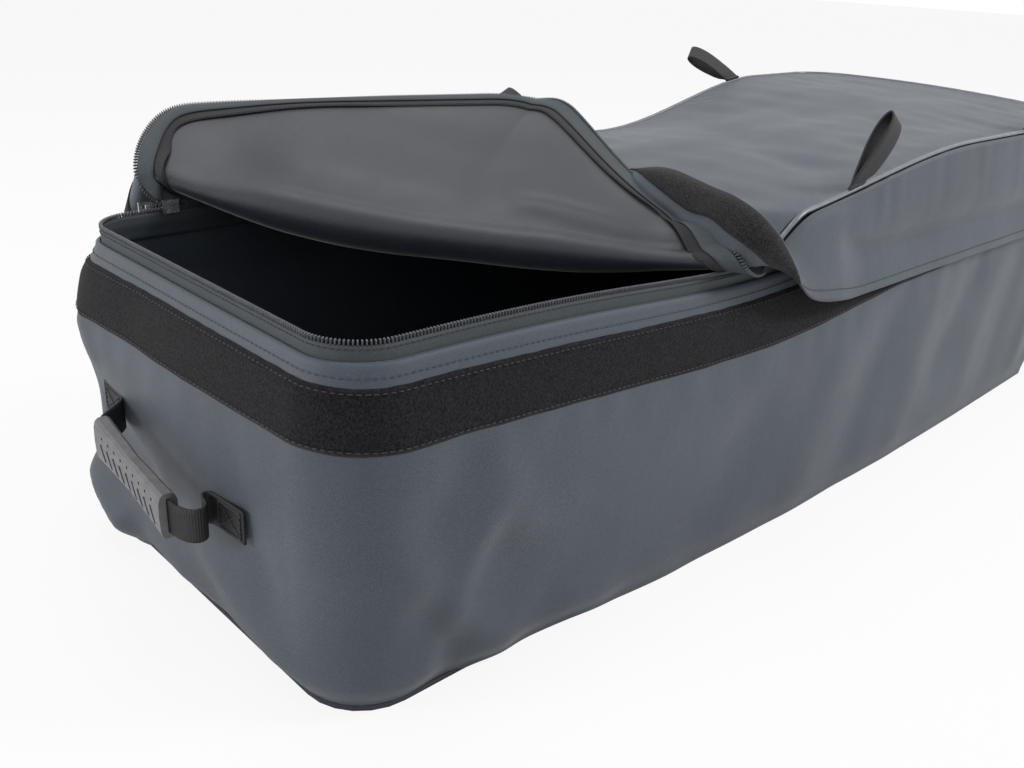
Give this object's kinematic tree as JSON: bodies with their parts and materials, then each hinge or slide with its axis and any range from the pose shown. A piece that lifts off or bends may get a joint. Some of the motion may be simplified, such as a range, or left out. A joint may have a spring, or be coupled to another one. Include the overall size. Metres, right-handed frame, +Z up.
{
  "type": "roof transit bag",
  "caption": "Long soft transit bag for a roof rack, with a zipped lid folded back at one corner, a storm flap, end handles and webbing tie-down loops.",
  "frame": {"origin": "centre of the base's underside, halfway along and across the bag", "axes": "+X along the bag towards its sewn right end, +Y towards the far side that holds the slider, +Z up"},
  "size_m": [1.1764, 0.536, 0.3866],
  "materials": {
    "base_cloth": "coated woven cloth over a firm sheet",
    "outer_cloth": "coated woven cloth, dull",
    "lid_cloth": "coated inner face, faint sheen",
    "loop_fuzz": "soft looped pile",
    "hook_fuzz": "short stiff hooks",
    "zip_tape": "woven tape",
    "zip_teeth": "dark coil",
    "binding": "dull binding tape",
    "piping": "shiny covered cord",
    "webbing": "ribbed woven webbing",
    "grip": "satin moulded rubber",
    "bright_metal": "bright plated metal"
  },
  "bodies": {
    "bag": {"base_panel": "base_cloth", "body_walls": "outer_cloth", "loop_band": "loop_fuzz", "body_zip_tape": "zip_tape", "body_zip_teeth": "zip_teeth", "lid_panel": "lid_cloth", "lid_binding": "binding", "lid_piping": "piping", "lid_zip_tape": "zip_tape", "lid_zip_teeth": "zip_teeth", "hinge_strip": "outer_cloth", "storm_flap": "outer_cloth", "hook_tape": "hook_fuzz", "zip_stop_closed_end": "bright_metal", "zip_stop_body": "bright_metal", "zip_stop_lid": "bright_metal", "handle_strap_left": "webbing", "handle_grip_left": "grip", "handle_strap_right": "webbing", "handle_grip_right": "grip", "tie_loop_near_1": "webbing", "tie_loop_far_1": "webbing", "tie_loop_near_2": "webbing", "tie_loop_far_2": "webbing", "tie_loop_near_3": "webbing", "tie_loop_far_3": "webbing"},
    "slider": {"zip_slider": "bright_metal"},
    "puller": {"zip_puller": "bright_metal"}
  },
  "joints": [
    {"name": "zip_run", "type": "slide", "parent": "bag", "child": "slider", "axis": [1, 0, 0], "range_m": [0, 0.93]},
    {"name": "puller_swing", "type": "hinge", "parent": "slider", "child": "puller", "pos_m": [-0.4555, 0.1884, 0.266], "axis": [0, 0, -1], "range_deg": [0, 26]}
  ]
}
